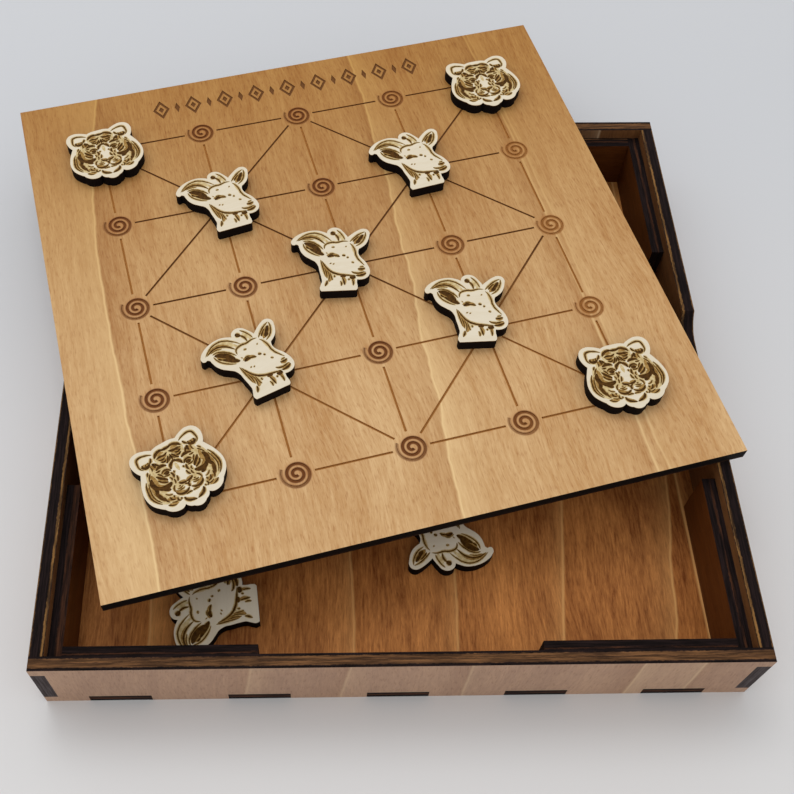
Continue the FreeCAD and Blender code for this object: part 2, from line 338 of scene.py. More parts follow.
def newMaterial(name):
    material = bpy.data.materials.new(name)
    material.use_nodes = True
    tree = material.node_tree
    shader = tree.nodes["Principled BSDF"]
    return material, tree, shader


def ownPosition(tree, shift=(0, 0, 0), turn=(0, 0, 0)):
    # the object's own position in millimetres, shifted and turned into the sheet's directions
    inputs = {
        "Vector": tree.nodes.new("ShaderNodeTexCoord").outputs["Object"],
        "Location": [value * mm for value in shift],
        "Rotation": Euler([math.radians(angle) for angle in turn]),
        "Scale": (mm, mm, mm),
    }
    return addNode(tree, "ShaderNodeMapping", inputs, vector_type="TEXTURE").outputs[0]


upwards = (0.0, 0.0, 1.0)
# what lies within this many millimetres of the outermost plane is on the outer edge
edgeMargin = 0.05


def facing(tree, axis):
    # 1 on the faces that look along the axis, either way, and 0 on the others
    normal = tree.nodes.new("ShaderNodeNewGeometry").outputs["Normal"]
    along = vectorCalc(tree, "DOT_PRODUCT", normal, axis).node.outputs["Value"]
    return smoothStep(tree, calc(tree, "ABSOLUTE", along), 0.45, 0.55)


def bump(tree, height, strength, reach):
    inputs = {"Height": height, "Strength": strength, "Distance": reach}
    return addNode(tree, "ShaderNodeBump", inputs).outputs[0]


def growLines(tree, colour, position, lines, pale):
    for place, slope, bend, wander, fade, side, strength in lines:
        inputs = {"Position": position, "Place": place, "Slope": slope, "Bend": bend,
                  "Wander": wander, "Fade": fade, "Side": float(side)}
        line = useGroup(tree, growthLineGroup, inputs)
        shadow = calc(tree, "MULTIPLY", line["Shadow"], growthLine["shadowShare"] * strength)
        colour = mixColours(tree, shadow, colour, growthLine["shadow"], "MULTIPLY")
        fading = calc(tree, "MULTIPLY", line["Mask"], growthLine["fadeShare"])
        share = calc(tree, "MAXIMUM", fading, line["Line"])
        colour = mixColours(tree, calc(tree, "MULTIPLY", share, strength), colour, pale)
    return colour


def cutEdge(tree, position, char, charPale, plies):
    # a burnt edge, with each ply that stays paler as start, end, patchiness and colour
    colour = char
    for start, end, patches, paler in plies:
        inputs = {"Position": position, "Start": start, "End": end, "Patches": patches}
        ply = useGroup(tree, plyGroup, inputs)
        if colour is char:
            ashen = smoothStep(tree, ply["Streaks"], *cutPly["charStreaks"])
            colour = mixColours(tree, ashen, char, charPale)
        streaky = mixColours(tree, smoothStep(tree, ply["Streaks"], *cutPly["plyStreaks"]), paler, char)
        plyColour = mixColours(tree, cutPly["streakShare"], paler, streaky)
        colour = mixColours(tree, ply["Mask"], colour, plyColour)
    return colour


# The board

boardPose = {"shift": (-11.35, 32.03), "turn": 13.84}
boardLook = {
    "pale": shade(218, 180, 130),
    "dark": shade(186, 138, 86),
    "grain": {"Clouds": 1.4, "Streaks": 1.1, "Fibres": 1.9, "Flecks": 0.7, "Seed": 1.0},
    "yellow": shade(232, 198, 144),
    # place, slope, bend, wander, fade, side, strength
    "growthLines": [
        (-79.0, 0.0, 0.0012, 1.6, 9.0, -1, 0.95),
        (19.0, 0.12, -0.0005, 2.6, 6.0, 1, 0.9),
        (70.2, 0.03, -0.0002, 1.2, 1.6, 1, 0.75),
        (72.4, 0.02, -0.0002, 1.2, 3.0, 1, 0.45),
    ],
    # painted shade that deepens towards the back, in place of the sheen that pales the front
    "backShade": shade(213, 191, 146),
    "backShadeFade": (-70.0, 110.0),
    "backShadeLean": 0.1,
    "burn": shade(112, 72, 38),
    "orangeBurn": shade(180, 122, 60),
    "whirlBurn": shade(112, 62, 26),
    "smoke": shade(170, 108, 52),
    "smokeShare": 0.32,
    "lineGlowShare": 0.55,
    "whirlShare": 0.95,
    # how much fainter the burns are in the columns, towards the front and towards the right
    "columnFaint": 0.8,
    "frontFaint": 0.7,
    "frontFade": (35.0, -15.0),
    "frontUneven": 60.0,
    "rightFaint": 0.5,
    "rightFade": (55.0, 115.0),
    "rightUneven": 80.0,
    "unevenness": ((0.05, 0.05, 0.05), 3.0, 0.6),
    "grooveDepth": (-0.02, -0.12),
    "char": shade(9, 6, 6),
    "charPale": shade(22, 14, 11),
    "plies": [(3.3, 4.2, 0.8, shade(60, 36, 20))],
    "half": 95.5,
    "roughness": 0.42,
    "burntRougher": 0.4,
    "bump": (0.25, 0.00012),
    "specular": 0.12,
}
# the engraved grid and whirls, as they are cut into the board, and the spread of their burns
grid = {"pitch": 35.0, "reach": 70.0, "stop": 5.7, "margin": 0.6, "glow": (0.62, 0.22), "column": (0.7, 0.5)}
whirl = {
    "radius": 4.7,
    "pitch": 1.72,
    "turns": 2.45,
    "start": 149.0,
    "centre": (0.3, 0.1),
    "margin": 0.6,
    "room": 8.0,
    "glow": (0.80, 0.36),
    "smokeFade": 1.6,
    "faintTurns": 0.8,
    "faintShare": 0.55,
}
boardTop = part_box("board")[1].z / mm


def engravedMarks(tree, x, y):
    # masks from the way to the nearest node, grid line and whirl stroke, in millimetres
    pitch = grid["pitch"]
    offsets = []
    for value in (x, y):
        nearest = calc(tree, "MULTIPLY", calc(tree, "ROUND", calc(tree, "DIVIDE", value, pitch)), pitch)
        offsets.append(calc(tree, "SUBTRACT", value, nearest))
    across, along = offsets
    farthest = farthestOf(tree, x, y)
    inside = calc(tree, "LESS_THAN", farthest, grid["reach"] + grid["margin"])
    straight = calc(tree, "MINIMUM", calc(tree, "ABSOLUTE", across), calc(tree, "ABSOLUTE", along))
    rising = calc(tree, "PINGPONG", calc(tree, "SUBTRACT", x, y), pitch)
    falling = calc(tree, "PINGPONG", calc(tree, "ADD", x, y), pitch)
    slanted = calc(tree, "DIVIDE", calc(tree, "MINIMUM", rising, falling), math.sqrt(2))
    toLine = calc(tree, "MINIMUM", straight, slanted)
    clear = calc(tree, "GREATER_THAN", distance(tree, across, along), grid["stop"])
    onLine = calc(tree, "MULTIPLY", inside, clear)
    lineGlow = calc(tree, "MULTIPLY", smoothStep(tree, toLine, *grid["glow"]), onLine)
    onColumn = smoothStep(tree, calc(tree, "ABSOLUTE", across), *grid["column"])
    isColumn = calc(tree, "MULTIPLY", onColumn, onLine)

    fromX = calc(tree, "SUBTRACT", across, whirl["centre"][0])
    fromY = calc(tree, "SUBTRACT", along, whirl["centre"][1])
    radius = distance(tree, fromX, fromY)
    angle = calc(tree, "SUBTRACT", calc(tree, "ARCTAN2", fromY, fromX), math.radians(whirl["start"]))
    byRadius = calc(tree, "DIVIDE", calc(tree, "SUBTRACT", whirl["radius"], radius), whirl["pitch"])
    # the spiral passes each direction once in a turn, and the nearest of these passes counts
    part = calc(tree, "FRACT", calc(tree, "DIVIDE", angle, 2 * math.pi))
    ahead = calc(tree, "SUBTRACT", byRadius, part)
    turn = calc(tree, "MAXIMUM", calc(tree, "ROUND", ahead), 0.0)
    off = calc(tree, "ABSOLUTE", calc(tree, "SUBTRACT", ahead, turn))
    toStroke = calc(tree, "MULTIPLY", off, whirl["pitch"])
    wound = calc(tree, "ADD", part, turn)
    nearGrid = calc(tree, "LESS_THAN", farthest, grid["reach"] + whirl["room"])
    onWhirl = calc(tree, "MULTIPLY", nearGrid, calc(tree, "LESS_THAN", wound, whirl["turns"]))
    # the strokes are fainter at the outer end
    outerEnd = {"Value": wound, "From Max": whirl["faintTurns"], "To Min": whirl["faintShare"]}
    strength = addNode(tree, "ShaderNodeMapRange", outerEnd).outputs[0]
    whirlGlow = calc(tree, "MULTIPLY", smoothStep(tree, toStroke, *whirl["glow"]), onWhirl)
    whirlGlow = calc(tree, "MULTIPLY", whirlGlow, strength)
    rim = whirl["radius"] + whirl["margin"]
    isWhirl = calc(tree, "LESS_THAN", radius, rim)
    smoky = smoothStep(tree, radius, rim, whirl["radius"] - whirl["smokeFade"])
    disc = calc(tree, "MULTIPLY", nearGrid, smoky)
    return lineGlow, whirlGlow, disc, isColumn, isWhirl


def makeBoardMaterial():
    look = boardLook
    material, tree, shader = newMaterial("board ply")
    position = ownPosition(tree, (*boardPose["shift"], boardTop), (0, 0, boardPose["turn"]))
    x, y, z = axes(tree, position)
    inputs = {"Position": position, "Pale": look["pale"], "Dark": look["dark"], **look["grain"]}
    wood = useGroup(tree, veneerGroup, inputs)
    colour = growLines(tree, wood["Color"], position, look["growthLines"], look["yellow"])
    # painted shade: the board's colour darkens and deepens towards the back, standing in for the sheen that
    # pales its front
    towards = calc(tree, "ADD", y, calc(tree, "MULTIPLY", x, look["backShadeLean"]))
    backShaded = smoothStep(tree, towards, *look["backShadeFade"])
    colour = mixColours(tree, backShaded, colour, look["backShade"], "MULTIPLY")
    lineGlow, whirlGlow, disc, isColumn, isWhirl = engravedMarks(tree, x, y)
    uneven = stretchedNoise(tree, position, *look["unevenness"])
    # the laser burnt the columns and the front lines fainter and more orange
    frontPlace = calc(tree, "ADD", y, calc(tree, "MULTIPLY", uneven, look["frontUneven"]))
    towardsFront = smoothStep(tree, frontPlace, *look["frontFade"])
    columnFaint = calc(tree, "MULTIPLY", isColumn, look["columnFaint"])
    frontFaint = calc(tree, "MULTIPLY", towardsFront, look["frontFaint"])
    faint = calc(tree, "MAXIMUM", columnFaint, frontFaint)
    lineBurn = mixColours(tree, faint, look["burn"], look["orangeBurn"])
    colour = mixColours(tree, calc(tree, "MULTIPLY", disc, look["smokeShare"]), colour, look["smoke"])
    glow = calc(tree, "MULTIPLY", lineGlow, look["lineGlowShare"])
    colour = mixColours(tree, glow, colour, look["orangeBurn"])
    rightPlace = calc(tree, "ADD", x, calc(tree, "MULTIPLY", uneven, look["rightUneven"]))
    towardsRight = smoothStep(tree, rightPlace, *look["rightFade"])
    rightFaint = calc(tree, "MULTIPLY", towardsRight, look["rightFaint"])
    whirlBurn = mixColours(tree, rightFaint, look["whirlBurn"], look["orangeBurn"])
    colour = mixColours(tree, calc(tree, "MULTIPLY", whirlGlow, look["whirlShare"]), colour, whirlBurn)
    groove = smoothStep(tree, z, *look["grooveDepth"])
    inGroove = calc(tree, "MULTIPLY", groove, opposite(tree, isWhirl))
    colour = mixColours(tree, inGroove, colour, lineBurn)
    outer = calc(tree, "GREATER_THAN", farthestOf(tree, x, y), look["half"] - edgeMargin)
    side = calc(tree, "MULTIPLY", outer, opposite(tree, facing(tree, upwards)))
    edgePlace = combine(tree, calc(tree, "ADD", x, y), calc(tree, "MULTIPLY", z, -1.0))
    edge = cutEdge(tree, edgePlace, look["char"], look["charPale"], look["plies"])
    colour = mixColours(tree, side, colour, edge)
    feed(tree, shader.inputs["Base Color"], colour)
    burnt = calc(tree, "MULTIPLY", calc(tree, "MAXIMUM", groove, side), look["burntRougher"])
    feed(tree, shader.inputs["Roughness"], calc(tree, "ADD", burnt, look["roughness"]))
    feed(tree, shader.inputs["Normal"], bump(tree, wood["Height"], *look["bump"]))
    shader.inputs["Specular IOR Level"].default_value = look["specular"]
    return material


# The tray's sheets

plyShade = {"gold": shade(146, 106, 60), "brown": shade(126, 88, 56), "dark": shade(84, 52, 34)}
trayLook = {
    # pale and dark of each wood, and of the char at the edges and on the corner tabs, with painted shade on
    # the walls' inner faces and painted sheen on the tabs
    "floor": (shade(210, 140, 76), shade(122, 66, 28)),
    "outer": (shade(184, 150, 124), shade(158, 126, 106)),
    # painted shade: the walls' inner faces are a darker brown than their outer faces
    "inner": (shade(122, 80, 46), shade(86, 54, 30)),
    "liner": (shade(108, 60, 24), shade(76, 38, 13)),
    "char": (shade(15, 10, 10), shade(46, 33, 32)),
    # char of the corner tabs, greyed by painted sheen
    "tabCharAndSheen": (shade(56, 48, 48), shade(92, 84, 84)),
    "innerFade": (1.0, 3.0),
    "grain": {"Clouds": 1.5, "Streaks": 1.1, "Fibres": 1.8, "Flecks": 0.6},
    "edgeRoughness": 0.85,
    "faceSmoother": -0.35,
    "bump": (0.3, 0.00012),
    "specular": 0.08,
    "floorLine": shade(222, 168, 104),
    # place, slope, bend, wander, fade, side, strength
    "floorLines": [
        (-72.0, 0.0, 0.0, 1.0, 4.0, 1, 0.75),
        (-12.0, 0.0, 0.0, 1.0, 3.0, -1, 0.6),
        (22.5, 0.05, 0.0, 1.0, 3.0, -1, 0.6),
        (58.7, 0.11, 0.0, 0.5, 2.5, -1, 0.7),
        (93.2, 0.13, 0.0, 1.6, 4.0, -1, 0.8),
        (90.8, -0.01, 0.0, 0.3, 1.0, 1, 0.8),
    ],
    "wallLine": shade(204, 174, 140),
    "wallLines": [
        (-44.0, 0.12, 0.0, 0.5, 5.0, 1, 0.5),
        (-16.5, 0.08, 0.0, 0.5, 2.5, 1, 0.5),
        (18.4, 0.0, 0.0, 0.5, 2.5, 1, 0.5),
        (64.8, 0.0, 0.0, 0.5, 7.0, 1, 0.75),
        (81.4, 0.0, 0.0, 0.5, 2.5, -1, 0.6),
    ],
}
# start, end, patchiness and colour of each paler ply in the cut edges
trayPlies = {
    "floor": [(1.2, 2.6, 0.9, plyShade["dark"])],
    "front wall": [(0.8, 2.0, 0.6, plyShade["brown"]), (2.1, 3.3, 0.7, plyShade["brown"])],
    "side wall": [(0.0, 0.25, 0.5, plyShade["gold"]), (3.1, 3.8, 0.85, plyShade["gold"])],
    # the paler grey streak on the tabs is painted sheen
    "tab": [(1.3, 2.7, 0.8, trayLook["tabCharAndSheen"][1])],
    "front liner": [(0.4, 0.8, 0.8, plyShade["brown"]), (1.6, 2.1, 1.0, plyShade["dark"])],
    "left liner": [(2.0, 3.9, 0.8, plyShade["dark"])],
    "right liner": [(1.4, 2.2, 1.0, plyShade["dark"])],
}
trayPlies["back liner"] = trayPlies["front liner"]


def sheetMaterial(name, sheet, outer, inner, plies, lineColour=None, growth=()):
    # a sheet lists the axis that its faces look along, the axes across and along its grain, the
    # sign and place that give the depth below its outer face, and a seed
    look = trayLook
    normalAxis, acrossAxis, alongAxis, sign, face, seed = sheet
    material, tree, shader = newMaterial(name + " ply")
    parts = dict(zip("xyz", axes(tree, ownPosition(tree))))
    depth = calc(tree, "ADD", calc(tree, "MULTIPLY", parts[normalAxis], float(sign)), face)
    position = combine(tree, parts[acrossAxis], parts[alongAxis], depth)
    # the inner face takes the inner colours, which on the walls are painted shade
    isInner = smoothStep(tree, depth, *look["innerFade"])
    pale, dark = (mixColours(tree, isInner, first, second) for first, second in zip(outer, inner))
    inputs = {"Position": position, "Pale": pale, "Dark": dark, **look["grain"], "Seed": float(seed)}
    wood = useGroup(tree, veneerGroup, inputs)
    colour = growLines(tree, wood["Color"], position, growth, lineColour)
    alongEdge = calc(tree, "ADD", parts[acrossAxis], parts[alongAxis])
    edgePlace = combine(tree, alongEdge, depth, float(seed))
    isFace = facing(tree, [float(letter == normalAxis) for letter in "xyz"])
    colour = mixColours(tree, isFace, cutEdge(tree, edgePlace, *look["char"], plies), colour)
    if normalAxis == "x":
        # the ends of the corner tabs are char with a painted sheen, a duller and greyer black than the rim
        tab = cutEdge(tree, edgePlace, *look["tabCharAndSheen"], trayPlies["tab"])
        atCorner = calc(tree, "GREATER_THAN", calc(tree, "ABSOLUTE", parts["y"]), face - edgeMargin)
        isTab = calc(tree, "MULTIPLY", facing(tree, (0.0, 1.0, 0.0)), atCorner)
        colour = mixColours(tree, isTab, colour, tab)
    feed(tree, shader.inputs["Base Color"], colour)
    smoother = calc(tree, "MULTIPLY", isFace, look["faceSmoother"])
    feed(tree, shader.inputs["Roughness"], calc(tree, "ADD", smoother, look["edgeRoughness"]))
    feed(tree, shader.inputs["Normal"], bump(tree, wood["Height"], *look["bump"]))
    shader.inputs["Specular IOR Level"].default_value = look["specular"]
    return material


def dress(material, *names):
    for name in names:
        mesh = nodes[name].data
        mesh.materials.clear()
        mesh.materials.append(material)


def dressTray():
    look = trayLook
    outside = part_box("right_wall")[1].x / mm
    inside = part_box("right_wall")[0].x / mm
    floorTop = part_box("base_panel")[1].z / mm
    floorSheet = ("z", "x", "y", -1, floorTop, 2)
    dress(sheetMaterial("floor", floorSheet, look["floor"], look["floor"], trayPlies["floor"],
                        look["floorLine"], look["floorLines"]), "base_panel")
    # the sheets in front and on the left have sign 1, those behind and on the right -1
    for side, sign, seed in (("front", 1, 4), ("back", -1, 2)):
        wall = ("y", "x", "z", sign, outside, seed)
        dress(sheetMaterial(side + " wall", wall, look["outer"], look["inner"], trayPlies["front wall"],
                            look["wallLine"], look["wallLines"]), side + "_wall")
    for side, sign, seed in (("left", 1, 7), ("right", -1, 5)):
        wall = ("x", "z", "y", sign, outside, seed)
        dress(sheetMaterial(side + " wall", wall, look["outer"], look["inner"], trayPlies["side wall"]),
              side + "_wall")
    liners = (("front", "y", "x", 1, 11), ("back", "y", "x", -1, 9),
              ("left", "x", "y", 1, 11), ("right", "x", "y", -1, 9))
    for side, normalAxis, alongAxis, sign, seed in liners:
        names = [name for name in nodes if name.startswith("liner_" + side)]
        liner = (normalAxis, "z", alongAxis, sign, inside, seed)
        plies = trayPlies[side + " liner"]
        dress(sheetMaterial(side + " liner", liner, look["liner"], look["liner"], plies), *names)


dress(makeBoardMaterial(), "board")
dressTray()
print("board and tray dressed")


# Where the heads lie

middleNode = 2
# row, column, the way right and back from that node as shares of the pitch, and the turn
headsOnBoard = {
    "tiger_1": (0, 0, 0.029, -0.144, 6.5),
    "tiger_2": (0, 4, -0.036, -0.124, 0.5),
    "tiger_3": (4, 0, 0.086, 0.199, 18.8),
    "tiger_4": (4, 4, -0.026, 0.173, 0.0),
    "goat_1": (1, 1, 0.043, -0.032, 6.1),
    "goat_2": (1, 3, -0.027, 0.015, 3.2),
    "goat_3": (2, 2, -0.103, 0.005, -11.0),
    "goat_4": (3, 1, -0.079, 0.109, 14.4),
    "goat_5": (3, 3, -0.064, 0.164, -11.0),
}
# the way right and back in the tray as shares of its inside, and the turn
headsInFront = {"goat_6": (0.2266, 0.1079, 96.5), "goat_7": (0.5797, 0.2302, 183.5)}
hiddenHeads = {"rows": (4, 4, 5), "columns": 5, "across": 2.4, "along": 1.7, "turn": 137.5, "reach": 16.836}


def laid(x, y, turn):
    return Matrix.Translation((x * mm, y * mm, 0)) @ Matrix.Rotation(math.radians(turn), 4, "Z")


def headMatrices():
    # each head's own frame: origin at its middle on the top face
    places = {}
    board = laid(*boardPose["shift"], boardPose["turn"])
    for name, (row, column, right, back, turn) in headsOnBoard.items():
        x = (column + right - middleNode) * grid["pitch"]
        y = (middleNode - row + back) * grid["pitch"]
        places[name] = board @ laid(x, y, turn)
    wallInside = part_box("right_wall")[0].x / mm
    for name, (right, back, turn) in headsInFront.items():
        places[name] = laid((2 * right - 1) * wallInside, (2 * back - 1) * wallInside, turn)
    # the hidden goats lie in rows, each pushed about in its own square and turned on from the last
    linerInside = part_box("liner_right_front")[0].x / mm
    pitch = 2 * linerInside / hiddenHeads["columns"]
    play = pitch / 2 - hiddenHeads["reach"]
    goatsOnBoard = sum(name.startswith("goat") for name in headsOnBoard)
    number = len(headsInFront)
    for row, count in enumerate(hiddenHeads["rows"]):
        for column in range(count):
            x = -linerInside + (column + 0.5) * pitch + play * math.sin(hiddenHeads["across"] * number)
            y = linerInside - (row + 0.5) * pitch + play * math.cos(hiddenHeads["along"] * number)
            name = f"goat_{goatsOnBoard + number + 1}"
            places[name] = laid(x, y, hiddenHeads["turn"] * number)
            number += 1
    return {name: Matrix.Translation((0, 0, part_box(name)[1].z)) @ place for name, place in places.items()}


# Engraved heads: the outline comes from the CAD solid, the strokes are cut into its face

engraving = {
    # depth of each level, and how far the paler levels spread beside a darker stroke
    "warm": 0.02,
    "tan": 0.08,
    "dark": 0.22,
    "warmSpread": 0.85,
    "tanSpread": 0.36,
    "taper": 0.55,
    "pathSteps": 5,
    # the heights between which each burn takes over, and the char of the edge below them
    "warmFade": (-0.004, -0.016),
    "tanFade": (-0.03, -0.07),
    "darkFade": (-0.10, -0.20),
    "charFade": (-0.24, -0.34),
}


def topOutline(name, place):
    work = bmesh.new()
    work.from_mesh(nodes[name].data)
    bmesh.ops.remove_doubles(work, verts=work.verts, dist=1e-7)
    work.normal_update()
    flat = 0.9
    following = {}
    for face in work.faces:
        if face.normal.z > flat:
            for loop in face.loops:
                if any(other.normal.z < flat for other in loop.edge.link_faces):
                    following[loop.vert] = loop.link_loop_next.vert
    toOwn = place.inverted()
    first = next(iter(following))
    ring, corner = [], first
    while corner != first or not ring:
        point = toOwn @ corner.co
        ring.append(Vector((point.x / mm, point.y / mm)))
        corner = following[corner]
    work.free()
    return ring


def smoothPath(points):
    points = [Vector(point) for point in points]
    ends = [2 * points[0] - points[1]] + points + [2 * points[-1] - points[-2]]
    path = []
    for before, start, end, after in zip(ends, ends[1:], ends[2:], ends[3:]):
        for step in range(engraving["pathSteps"]):
            t = step / engraving["pathSteps"]
            line = (end - before) * (t / 2)
            square = (2 * before - 5 * start + 4 * end - after) * (t * t / 2)
            cube = (3 * start - before - 3 * end + after) * (t * t * t / 2)
            path.append(start + line + square + cube)
    return path + [points[-1]]


def strokeRing(points, width):
    # a stroke that swells to its width in the middle and runs out at both ends
    path = smoothPath(points)
    left, right = [], []
    for index in range(1, len(path) - 1):
        along = (path[index + 1] - path[index - 1]).normalized()
        half = width / 2 * math.sin(math.pi * index / (len(path) - 1)) ** engraving["taper"]
        side = Vector((-along.y, along.x)) * half
        left.append(path[index] + side)
        right.append(path[index] - side)
    return [path[0]] + right + [path[-1]] + left[::-1]


def strokeRings(outline, darkStrokes, tanStrokes, lightStrokes):
    # every outline to cut, with its level: the uncut face is 0, and the deepest cut counts
    wide, narrow = engraving["warmSpread"], engraving["tanSpread"]
    kinds = (
        (lightStrokes, ((1, 0.0),)),
        (tanStrokes, ((1, narrow), (2, 0.0))),
        (darkStrokes, ((1, wide), (2, narrow), (3, 0.0))),
    )
    rings, levels = [outline], [0]
    for strokes, cuts in kinds:
        for width, points in strokes:
            for level, spread in cuts:
                rings.append(strokeRing(points, width + spread))
                levels.append(level)
    return rings, levels


def engravedMesh(name, rings, levels, thickness):
    # the outline's face cut down to its levels, with walls between them and a flat underside
    corners, loops = [], []
    for ring in rings:
        loops.append(list(range(len(corners), len(corners) + len(ring))))
        corners += ring
    flat, _, faces, _, _, origins = geometry.delaunay_2d_cdt(corners, [], loops, 1, 1e-4, True)
    heights = [0.0, -engraving["warm"], -engraving["tan"], -engraving["dark"], -thickness]
    bottom = len(heights) - 1
    work = bmesh.new()
    made = {}

    def corner(index, level):
        if (index, level) not in made:
            place = (flat[index].x * mm, flat[index].y * mm, heights[level] * mm)
            made[index, level] = work.verts.new(place)
        return made[index, level]

    beside = {}
    for face, origin in zip(faces, origins):
        if 0 not in origin:
            continue
        level = max(levels[index] for index in origin)
        work.faces.new([corner(index, level) for index in face])
        work.faces.new([corner(index, bottom) for index in reversed(face)])
        for start, end in zip(face, [*face[1:], face[0]]):
            beside[start, end] = level
    for (start, end), level in beside.items():
        lower = beside.get((end, start), bottom)
        if level < lower:
            wall = ((end, level), (start, level), (start, lower), (end, lower))
            work.faces.new([corner(*place) for place in wall])
    lowest = -0.9 * thickness * mm
    verts = [vert for vert in work.verts if vert.co.z < lowest]
    edges = [edge for edge in work.edges if all(vert.co.z < lowest for vert in edge.verts)]
    bmesh.ops.dissolve_limit(work, angle_limit=0.001, verts=verts, edges=edges)
    mesh = bpy.data.meshes.new(name)
    work.to_mesh(mesh)
    work.free()
    return mesh


def mirrored(strokes):
    return strokes + [(width, [(-x, y) for x, y in points]) for width, points in strokes]


# strokes as width and points in millimetres, from the middle of the head: dark lines, patches of
# mid shading and broad light shading
tigerStrokes = {
    "ears": [
        (0.42, [(-4.3, 9.2), (-5.6, 9.9), (-7.4, 10.4), (-8.9, 10.1), (-9.4, 8.7), (-9.4, 7.1), (-8.6, 5.9)]),
        (0.95, [(-9.0, 7.3), (-8.0, 6.5), (-7.0, 6.5), (-6.1, 7.1)]),
        (0.50, [(-6.4, 6.9), (-5.6, 7.7), (-5.2, 8.7)]),
        (0.45, [(-8.4, 6.6), (-8.4, 7.8)]),
        (0.35, [(-7.6, 6.6), (-7.4, 7.6)]),
        (0.30, [(-6.8, 6.9), (-6.4, 7.8)]),
    ],
    "forehead": [
        (0.85, [(-4.4, 7.7), (-3.6, 8.6), (-2.3, 9.3), (-0.6, 9.2)]),
        (0.60, [(-4.1, 7.2), (-2.8, 7.5), (-1.4, 7.3), (-0.2, 7.9)]),
        (0.55, [(-3.7, 6.7), (-2.6, 6.3), (-1.5, 6.6)]),
        (0.55, [(-3.4, 5.9), (-2.3, 5.4), (-1.6, 5.8)]),
        (0.60, [(-2.1, 4.5), (-1.5, 5.0), (-1.0, 5.8), (-0.5, 6.7)]),
        (0.40, [(-1.0, 4.9), (-0.4, 5.6), (-0.2, 6.3)]),
        (0.85, [(-5.8, 6.8), (-5.4, 5.9), (-5.6, 4.9)]),
        (0.50, [(-4.9, 6.4), (-4.7, 5.6), (-4.1, 5.0)]),
        (0.35, [(-6.6, 6.2), (-6.5, 5.2), (-6.8, 4.4)]),
    ],
    "eyes": [
        (0.90, [(-5.9, 4.1), (-4.8, 4.6), (-3.5, 4.6), (-2.3, 4.0)]),
        (0.40, [(-6.3, 3.6), (-5.4, 3.5), (-4.6, 3.6)]),
        (0.60, [(-5.0, 2.3), (-4.0, 2.9), (-2.9, 2.7), (-2.0, 1.8)]),
        (1.25, [(-4.4, 1.9), (-3.5, 1.9), (-2.7, 1.7)]),
        (0.40, [(-4.8, 1.3), (-3.8, 1.0), (-2.8, 1.0)]),
        (0.60, [(-2.6, 1.4), (-2.2, 0.5), (-2.4, -0.6)]),
        (0.85, [(-6.8, 2.5), (-6.0, 1.5), (-5.0, 0.5), (-4.2, -0.4)]),
        (0.60, [(-6.9, 1.1), (-6.2, 0.1), (-5.2, -0.6), (-4.4, -1.0)]),
        (0.40, [(-6.0, 3.0), (-5.4, 2.2), (-4.8, 1.2)]),
        (0.35, [(-3.6, 0.2), (-3.2, -0.4), (-3.4, -1.2)]),
    ],
    "cheeks": [
        (1.50, [(-8.2, 2.5), (-8.8, 0.8), (-8.5, -1.0), (-8.9, -3.0)]),
        (1.50, [(-8.6, -0.2), (-7.4, -1.6), (-6.0, -2.1), (-4.6, -1.9), (-3.6, -1.4)]),
        (1.10, [(-7.2, -2.0), (-6.0, -2.8), (-4.9, -3.5)]),
        (1.10, [(-9.3, -1.8), (-8.8, -3.8), (-8.0, -5.8)]),
        (0.45, [(-7.8, -4.4), (-7.8, -5.8), (-7.2, -6.8)]),
        (0.45, [(-9.9, 2.4), (-10.7, 0.6), (-11.1, -1.6), (-11.1, -3.2), (-10.4, -4.9), (-9.2, -6.4)]),
        (0.32, [(-9.6, 1.6), (-10.1, -0.4), (-10.4, -2.6), (-10.0, -4.3), (-9.0, -6.0)]),
        (0.35, [(-7.6, 4.2), (-8.4, 3.2), (-9.1, 1.9)]),
        (0.30, [(-8.0, 5.0), (-8.9, 3.6)]),
        (0.40, [(-8.2, -7.3), (-7.1, -8.0), (-5.7, -8.4)]),
        (0.55, [(-6.6, -5.2), (-6.3, -6.3), (-5.3, -6.8)]),
        (0.40, [(-5.2, -5.4), (-5.5, -6.2)]),
        (0.40, [(-4.6, -6.4), (-4.9, -7.3), (-4.2, -8.0)]),
        (0.30, [(-7.2, -3.8), (-6.3, -4.7), (-5.2, -5.0)]),
        (0.30, [(-6.9, -7.0), (-5.9, -7.5), (-5.0, -7.6)]),
    ],
    "nose": [
        (0.80, [(-1.9, 2.1), (-1.6, 3.2), (-1.0, 3.9), (-0.1, 4.3)]),
        (0.35, [(-1.6, 1.6), (-1.5, 0.6)]),
        (0.45, [(-1.5, -0.2), (-1.7, -1.4), (-2.2, -2.2)]),
        (0.70, [(-2.3, -2.8), (-1.2, -3.3), (0.2, -3.5)]),
        (0.35, [(-2.8, -0.9), (-2.7, -1.8), (-3.1, -2.6)]),
        (0.40, [(-0.9, -3.7), (-0.4, -4.1), (0.0, -4.2)]),
    ],
    "muzzle": [
        (0.40, [(-3.4, -2.7), (-4.2, -3.6), (-4.4, -4.9)]),
        (0.75, [(-4.4, -4.9), (-3.7, -5.9), (-2.5, -6.4), (-1.3, -6.2), (-0.2, -5.5)]),
        (0.25, [(-3.6, -4.3), (-2.6, -4.4), (-1.4, -4.1)]),
        (0.25, [(-3.4, -4.9), (-2.4, -5.0), (-1.2, -4.7)]),
        (0.22, [(-2.8, -3.8), (-2.0, -3.7)]),
        (0.75, [(-3.1, -7.4), (-2.8, -8.5), (-1.8, -9.3), (0.0, -9.9)]),
        (0.35, [(-2.3, -7.1), (-1.0, -6.9), (0.0, -7.1)]),
        (0.30, [(-3.7, -7.0), (-4.1, -7.9)]),
    ],
}
